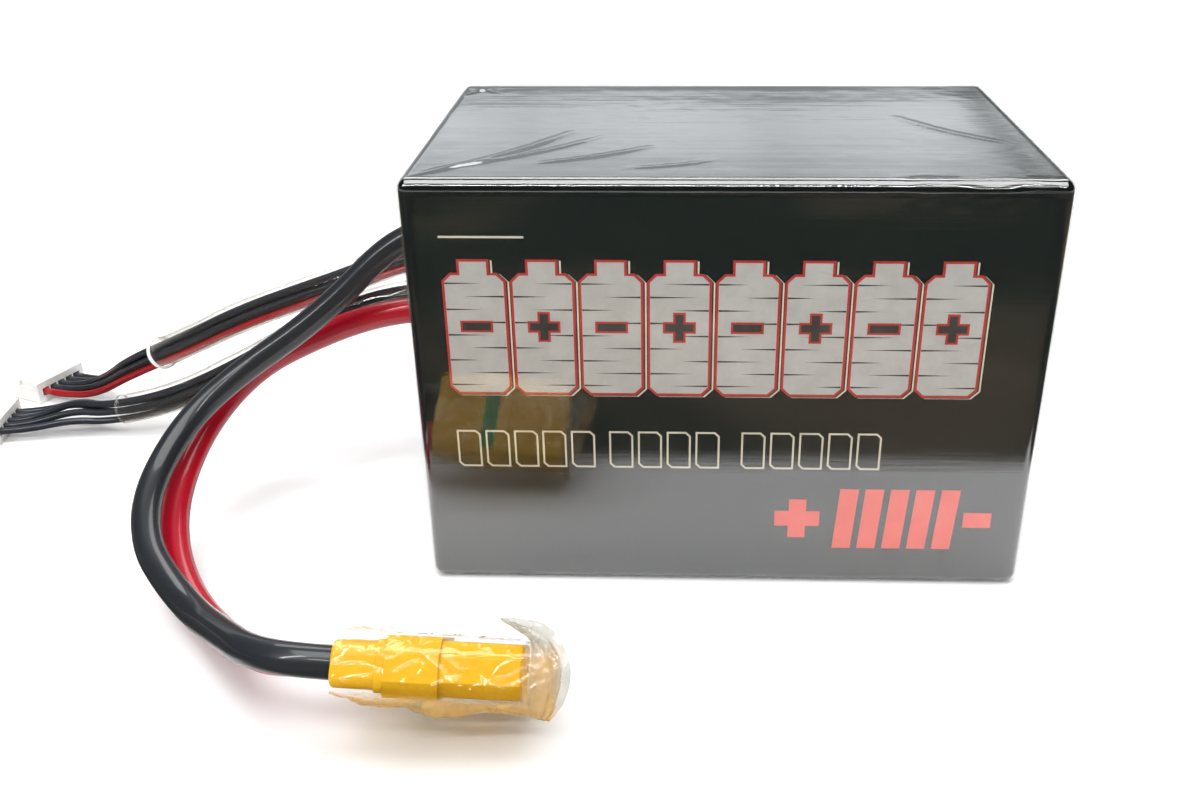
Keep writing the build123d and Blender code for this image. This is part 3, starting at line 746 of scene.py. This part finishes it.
def cross_symbol(x, z, reach, thickness):
    """The outline of a plus sign."""
    half = thickness / 2
    return [(x - half, z - reach), (x + half, z - reach), (x + half, z - half), (x + reach, z - half),
            (x + reach, z + half), (x + half, z + half), (x + half, z + reach), (x - half, z + reach),
            (x - half, z + half), (x - reach, z + half), (x - reach, z - half), (x - half, z - half)]


def front_graphics():
    """A rule, eight cell symbols, a row of outlined bars and a row of solid bars between two signs."""
    symbol_left, symbol_bottom, symbol_height = -51.6, 42.8, 26.2
    symbol_pitch, symbol_width, symbol_count = 12.35, 10.8, 8
    symbols = [cell_symbol(symbol_left + index * symbol_pitch, symbol_bottom, symbol_width, symbol_height)
               for index in range(symbol_count)]
    printed("front_rule", [rectangle(-52.0, 73.4, -36.8, 73.8)], "cream", 0.04 * mm)
    printed("symbol_edges", [outset(shifted(symbol, 0.55, -0.25), 0.45) for symbol in symbols],
            "cream", 0.03 * mm)
    printed("symbol_gaps", [outset(shifted(symbol, 0.2, -0.1), 0.5) for symbol in symbols],
            "dark", 0.045 * mm)
    printed("symbol_outlines", [outset(symbol, 0.42) for symbol in symbols], "red", 0.06 * mm)
    printed("symbol_faces", [outset(symbol, -0.05) for symbol in symbols], "silver", 0.075 * mm)

    stripe_rows, stripe_pitch, stripe_half, stripe_inset = 9, 2.55, 0.17, 0.1
    mark_reach, mark_thickness = 2.6, 1.5
    stripes, marks, mark_outlines = [], [], []
    for index, symbol in enumerate(symbols):
        left = symbol_left + index * symbol_pitch
        for row in range(stripe_rows):
            z = symbol_bottom + 1.6 + row * stripe_pitch
            from_left = (row + index) % 2 == 0
            wide = symbol_width * (0.62 + 0.3 * noise.noise(Vector((index * 3.7, row * 1.9, 0.5))))
            start = left + stripe_inset if from_left else left + symbol_width - stripe_inset
            end = start + wide if from_left else start - wide
            taper = [(start, z - stripe_half), (end, z), (start, z + stripe_half)]
            stripes.append(taper if from_left else taper[::-1])
        x, z = left + symbol_width / 2, symbol_bottom + 13.5
        if index % 2:
            mark = cross_symbol(x, z, mark_reach, mark_thickness)
        else:
            half = mark_thickness / 2
            mark = rectangle(x - mark_reach, z - half, x + mark_reach, z + half)
        marks.append(mark)
        mark_outlines.append(outset(mark, 0.4))
    printed("symbol_stripes", stripes, "dark", 0.085 * mm)
    printed("mark_outlines", mark_outlines, "red", 0.095 * mm)
    printed("marks", marks, "dark", 0.105 * mm)

    row_bottom, row_top = 26.6, 34.6
    bar_pitch, line = 5.5, 0.36
    outlined = []
    groups = ((-51.6, 3), (-35.2, 2), (-22.4, 4), (2.8, 5))
    for start, count in groups:
        for index in range(count):
            left = start + index * bar_pitch
            outline = [(left + 0.9, row_bottom), (left + 4.6, row_bottom), (left + 4.6, row_top - 0.9),
                       (left + 3.7, row_top), (left, row_top), (left, row_bottom + 0.9)]
            outlined += band_round(outline, -line, 0.0)
    printed("outlined_bars", outlined, "cream", 0.05 * mm)

    bar_bottom, bar_top = 8.6, 22.2
    bar_width, bar_lean, solid_left, solid_pitch, solid_count = 3.6, 0.9, 21.4, 4.9, 5
    solid = [cross_symbol(14.2, 15.4, 4.4, 3.4)]
    for index in range(solid_count):
        left = solid_left + index * solid_pitch
        solid.append([(left, bar_bottom), (left + bar_width, bar_bottom),
                      (left + bar_width + bar_lean, bar_top), (left + bar_lean, bar_top)])
    solid.append(rectangle(46.6, 13.7, 52.0, 17.1))
    printed("solid_bars", solid, "salmon", 0.05 * mm)


front_graphics()


# Crinkled film sleeve over the connector, built in the connector's own frame in millimetres

def spread_evenly(points, count):
    """Places at even steps along a line of points, its ends among them."""
    vectors = [Vector(point) for point in points]
    lengths = [0.0]
    for before, after in zip(vectors, vectors[1:]):
        lengths.append(lengths[-1] + (after - before).length)
    spread = []
    span = 0
    for index in range(count):
        target = lengths[-1] * index / (count - 1)
        while span < len(vectors) - 2 and lengths[span + 1] < target:
            span += 1
        share = (target - lengths[span]) / max(lengths[span + 1] - lengths[span], 1e-9)
        spread.append(vectors[span].lerp(vectors[span + 1], min(max(share, 0.0), 1.0)))
    return spread


def smoothed(points, rounds):
    """A line of points with its corners softened, ends kept."""
    for _ in range(rounds):
        points = [points[0]] + [
            points[i - 1] * 0.25 + points[i] * 0.5 + points[i + 1] * 0.25 for i in range(1, len(points) - 1)
        ] + [points[-1]]
    return points


near_steps = 44
far_steps = 84
smoothing_rounds = 2
hugging_rings = 90
flaring_rings = 34
sleeve_rear = 0.3
sleeve_mouth = 32.0

# How high the film stands over the connector and how low its fold hangs, as (x, z)
crest_line = [(0.3, 4.3), (1.5, 5.3), (3.5, 5.8), (6.5, 5.7), (9.0, 5.25), (12.0, 5.1), (19.0, 5.1),
              (24.0, 4.8), (32.0, 4.9)]
fold_line = [(0.3, -4.2), (2.5, -4.9), (5.5, -6.1), (12.0, -6.1), (15.0, -6.9), (17.6, -7.3), (21.0, -7.1),
             (24.0, -6.3), (27.0, -6.1), (32.0, -6.5)]


def read_line(line, x):
    """The height of a line of points at one station."""
    for (start, low), (end, high) in zip(line, line[1:]):
        if x <= end:
            return low + (high - low) * smooth_step(x, start, end)
    return line[-1][1]


def closed_ring(near, far):
    """A closed ring of the film from the line up its near side and the line round its far side."""
    return (smoothed(spread_evenly(near, near_steps), smoothing_rounds)[:-1]
            + smoothed(spread_evenly(far, far_steps), smoothing_rounds)[:-1])


def sleeve_ring(x):
    """One section of the sleeve round the connector: up its near side, then round the far side."""
    gap = 0.2
    over_cap = 1.0 - smooth_step(x, 6.5, 9.5)
    half_width = connector_width / 2 + gap - 0.5 * over_cap
    half_thickness = connector_thickness / 2 + gap
    crest_z = read_line(crest_line, x)
    fold_z = read_line(fold_line, x)
    cut = 2.4
    fold = (x, -half_width + cut, fold_z)
    crest = (x, -half_width + cut + 0.6, crest_z)
    near = [fold, (x, -half_width + 1.1, (fold_z - half_thickness) / 2),
            (x, -half_width, -half_thickness + cut), (x, -half_width, 0.0),
            (x, -half_width, half_thickness - cut),
            (x, -half_width + cut * 0.5, half_thickness - cut * 0.42), crest]
    top = half_thickness
    far = [crest, (x, -half_width + 5.5, (crest_z + top) / 2), (x, 0.0, top), (x, half_width - 1.2, top),
           (x, half_width, top - 1.2), (x, half_width, -top + 0.9), (x, half_width - 1.2, -top - 0.3),
           (x, 0.0, -top - 0.35), (x, -half_width + 6.5, (fold_z - top) / 2), fold]
    return closed_ring(near, far)


def mouth_ring():
    """The flattened open end of the sleeve, bent up and back over the connector."""
    front = [(35.4, -10.6, -6.9), (37.4, -11.6, -4.2), (38.2, -12.2, -1.4), (38.3, -12.4, 1.3),
             (37.3, -12.2, 4.0), (35.2, -11.8, 6.8), (32.6, -11.4, 8.2), (29.8, -11.0, 8.5),
             (27.6, -10.6, 8.4), (26.2, -10.2, 8.2)]
    back = [(26.2, -10.2, 8.2), (29.0, -8.6, 7.7), (32.0, -7.4, 6.9), (34.6, -6.8, 5.2), (36.2, -6.6, 2.8),
            (36.8, -6.4, 0.4), (36.6, -6.6, -2.2), (36.0, -7.6, -4.6), (35.4, -10.6, -6.9)]
    return closed_ring(front, back)


def crinkle(place, outward, strength):
    """A point of the film moved outwards by its crinkles."""
    broad = noise.noise(place * 0.22 + Vector((5.0, 2.0, 1.0)))
    stretched = Vector((place.x * 0.34, place.y * 0.20, place.z * 0.42)) + Vector((0, 9.0, 0))
    folds = 1.0 - abs(noise.noise(stretched)) * 2
    sharp = max(folds, 0.0) ** 4
    fine = noise.noise(place * 1.7)
    return place + outward * strength * (0.30 + 0.30 * broad + 0.55 * sharp + 0.10 * fine)


def film_cloud(place):
    """How cloudy the film is at one place: clear on the body, cloudy in its fold and its open end."""
    in_fold = smooth_step(-place.z, 4.0, 4.9) * smooth_step(-place.y, 2.0, 6.0)
    in_end = smooth_step(place.x, 30.4, 31.0)
    bent_back = smooth_step(place.z, 5.4, 6.4) * smooth_step(place.x, 24.0, 27.0)
    in_loop = smooth_step(place.z, 4.9, 5.5) * (1.0 - smooth_step(place.x, 8.0, 11.0))
    return max(0.0, 0.66 * in_fold, 0.60 * in_end, 0.62 * bent_back, 0.20 * in_loop)


def film_painted_yellow(place):
    """How much painted yellow light the film carries at one place: the yellow shining through its fold and
    past its nose, painted as a tan colour.
    """
    outer = max(smooth_step(place.x, 35.2, 37.2), smooth_step(place.z, 2.0, 5.5))
    return 1.0 - outer * smooth_step(place.z, -6.4, -4.4)


def connector_sleeve():
    """The whole sleeve: hugging the connector, then flaring into its flattened end."""
    rings = [sleeve_ring(sleeve_rear + (sleeve_mouth - sleeve_rear) * index / (hugging_rings - 1))
             for index in range(hugging_rings)]
    last = rings[-1]
    mouth = mouth_ring()
    for index in range(1, flaring_rings + 1):
        share = index / flaring_rings
        ring = []
        for start, end in zip(last, mouth):
            ripple = math.sin(24.0 * share + 0.25 * end.z)
            pleat = ripple * math.sin(math.pi * share) * smooth_step(share, 0.3, 0.7)
            ring.append(start.lerp(end, share ** 1.25) + Vector((0.0, 0.22 * pleat, 0.08 * pleat)))
        rings.append(ring)
    sides = len(last)
    vertices, clouds, painted_yellows = [], [], []
    for index, ring in enumerate(rings):
        middle = sum(ring, Vector()) / sides
        loose = smooth_step(ring[0].x, 30.0, 34.0)
        for number, place in enumerate(ring):
            outward = Vector((0.0, place.y - middle.y, place.z - middle.z)).normalized()
            moved = crinkle(place, outward, 0.55 - 0.20 * loose)
            if index == 0:
                moved.x += 0.8 * noise.noise(Vector((number * 0.11, 4.0, 0)))
            clouds.append(film_cloud(place))
            painted_yellows.append(film_painted_yellow(place))
            vertices.append((connector_frame @ moved) * mm)
    mesh = mesh_from("connector_crinkled_film", vertices, ring_faces(len(rings), sides))
    for name, values in (("cloud", clouds), ("painted_yellow", painted_yellows)):
        mesh.attributes.new(name, "FLOAT", "POINT").data.foreach_set("value", values)
    piece = piece_from("connector_crinkled_film", mesh, "connector_film", body="connector_sleeve")
    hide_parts("connector_film_sleeve")


connector_sleeve()


# Stage, lights and camera

def stage_material(name, colour):
    """Plain matt studio paper."""
    shader = Shader(name)
    return shader.solid(colour, 0.9)


def plane(name, corners, material):
    """One flat stage surface."""
    mesh = mesh_from(name, corners, [tuple(range(len(corners)))], smooth=False)
    mesh.materials.append(material)
    surface = bpy.data.objects.new(name, mesh)
    bpy.context.collection.objects.link(surface)
    return surface


def square(reach, height):
    """Corners of a level square round the pack."""
    return [(-reach, -reach, height), (reach, -reach, height),
            (reach, reach, height), (-reach, reach, height)]


floor_reach = 3.0
plane("floor", square(floor_reach, 0), stage_material("floor_paper", grey(0.86)))


def lamp(name, place, target, size, size_y, power):
    """A soft rectangular light facing a point."""
    data = bpy.data.lights.new(name, "AREA")
    data.shape = "RECTANGLE"
    data.size = size
    data.size_y = size_y
    data.energy = power
    light = bpy.data.objects.new(name, data)
    light.location = place
    light.rotation_euler = (Vector(target) - Vector(place)).to_track_quat("-Z", "Y").to_euler()
    bpy.context.collection.objects.link(light)


def reflected_only(surface):
    """Let a stage surface be seen in reflections and nowhere else."""
    surface.visible_camera = False
    surface.visible_diffuse = False
    surface.visible_transmission = False
    surface.visible_shadow = False


reflection_fade_start = 43 * mm
reflection_fade_end = 52 * mm


def painted_reflection_sheet_material():
    """Painted reflection of a dim room: a dark, uneven sheet that fades out towards the pack."""
    shader = Shader("painted_dim_room_reflection")
    tone = shader.ramp(shader.noise(6, detail=2.5, distortion=1.0), 0.45, 0.7)
    # Near-black with brownish patches: the colours of a dim room, painted as its reflection.
    colour = shader.colours(tone, (0.020, 0.025, 0.023, 1), (0.16, 0.12, 0.085, 1))
    dark_reflection = shader.node("ShaderNodeBsdfDiffuse", {"Color": colour}).outputs[0]
    parts = shader.node("ShaderNodeSeparateXYZ", {0: shader.place})
    reaches = []
    for axis, half in ((0, pack_length / 2), (1, pack_depth / 2)):
        distance = shader.sums("SUBTRACT", shader.sums("ABSOLUTE", parts.outputs[axis], 0.0), half)
        reaches.append(distance)
    beyond = shader.sums("MAXIMUM", *reaches)
    cover = shader.ramp(beyond, reflection_fade_start, reflection_fade_end)
    nothing = shader.node("ShaderNodeBsdfTransparent").outputs[0]
    return shader.finish(shader.node("ShaderNodeMixShader", {0: cover, 1: nothing, 2: dark_reflection}).outputs[0])


def bright_card_material():
    """A luminous card, dim at its foot, softer at its top and dark on the right but for one stripe."""
    shader = Shader("bright_card_light")
    parts = shader.node("ShaderNodeSeparateXYZ", {0: shader.place})
    height = parts.outputs[2]
    # Painted reflection: the dim foot and the dark right side paint the darker band along the back edge of
    # the film's top and its darker right end.
    foot = shader.ramp(height, 0.302, 0.322, 0.30, 1.10)
    brow = shader.ramp(height, 0.350, 0.405, 1.0, 0.72)
    across = shader.sums("SUBTRACT", parts.outputs[0], shader.sums("MULTIPLY", height, 0.93))
    right_side = shader.ramp(across, -0.027, -0.005, 1.0, 0.42)
    stripe = shader.sums("MULTIPLY", shader.ramp(across, 0.008, 0.014),
                         shader.ramp(across, 0.022, 0.028, 0.5, 0.0))
    side = shader.sums("ADD", right_side, stripe)
    strength = shader.sums("MULTIPLY", shader.sums("MULTIPLY", foot, brow), side)
    patches = shader.ramp(shader.noise(7, detail=3.0), 0.3, 0.7, 0.86, 1.10)
    strength = shader.sums("MULTIPLY", strength, patches)
    return shader.finish(shader.node("ShaderNodeEmission", {
        "Color": (0.93, 0.97, 1.0, 1), "Strength": strength}).outputs[0])


# A dark sheet round the pack, seen only in its glossy sides, is a painted reflection of a dim room
reflection_sheet_reach = 0.6
reflection_sheet_height = 0.15 * mm
reflected_only(plane("reflection_only_dark_sheet", square(reflection_sheet_reach, reflection_sheet_height), painted_reflection_sheet_material()))
# A bright card stands behind, seen only in the film on top
card_y, card_half, card_top = 1.0, 1.4, 0.46
reflected_only(plane(
    "bright_card", [(-card_half, card_y, 0), (card_half, card_y, 0), (card_half, card_y, card_top),
                    (-card_half, card_y, card_top)], bright_card_material()))

lamp("overhead", (0.0, -0.1, 0.9), (0, 0, 0), 1.1, 0.6, 10)
lamp("key", (-0.6, -0.5, 0.7), (-0.05, 0, 0.03), 0.06, 0.5, 2.6)
lamp("strip", (-0.05, -0.65, 0.8), (-0.08, -0.05, 0.03), 0.9, 0.03, 3.2)
lamp("far_floor", (0.0, 1.5, 1.4), (0.0, 1.1, 0.0), 2.4, 0.8, 26)

# The even light of the room reaches matt surfaces and isn't mirrored
world_strength = 0.45
world = bpy.data.worlds.new("studio")
bpy.context.scene.world = world
world.use_nodes = True
world.node_tree.nodes["Background"].inputs["Color"].default_value = (1, 1, 1, 1)
world.node_tree.nodes["Background"].inputs["Strength"].default_value = world_strength
world.cycles_visibility.glossy = False
bpy.context.scene.view_settings.view_transform = "Standard"

# The camera's turn from +Y, its tilt down and its roll in radians, and its place in millimetres
camera_yaw = -0.0348
camera_pitch = 0.4532
camera_roll = -0.0077
camera_position = (-9.235, -233.879, 144.565)
forward = Vector((math.sin(camera_yaw) * math.cos(camera_pitch),
                  math.cos(camera_yaw) * math.cos(camera_pitch), -math.sin(camera_pitch)))
level = Vector((math.cos(camera_yaw), -math.sin(camera_yaw), 0))
above = level.cross(forward)
right = level * math.cos(camera_roll) + above * math.sin(camera_roll)
upward = above * math.cos(camera_roll) - level * math.sin(camera_roll)
camera_data = bpy.data.cameras.new("camera")
camera_data.lens = 35.46
camera_data.sensor_width = 36.0
camera_data.shift_x = -0.0347
camera_data.shift_y = -0.0295
camera_data.clip_start = 0.01
camera = bpy.data.objects.new("camera", camera_data)
camera_place = Matrix((right, upward, -forward)).transposed().to_4x4()
camera_place.translation = Vector(camera_position) * mm
camera.matrix_world = camera_place
bpy.context.collection.objects.link(camera)
bpy.context.scene.camera = camera
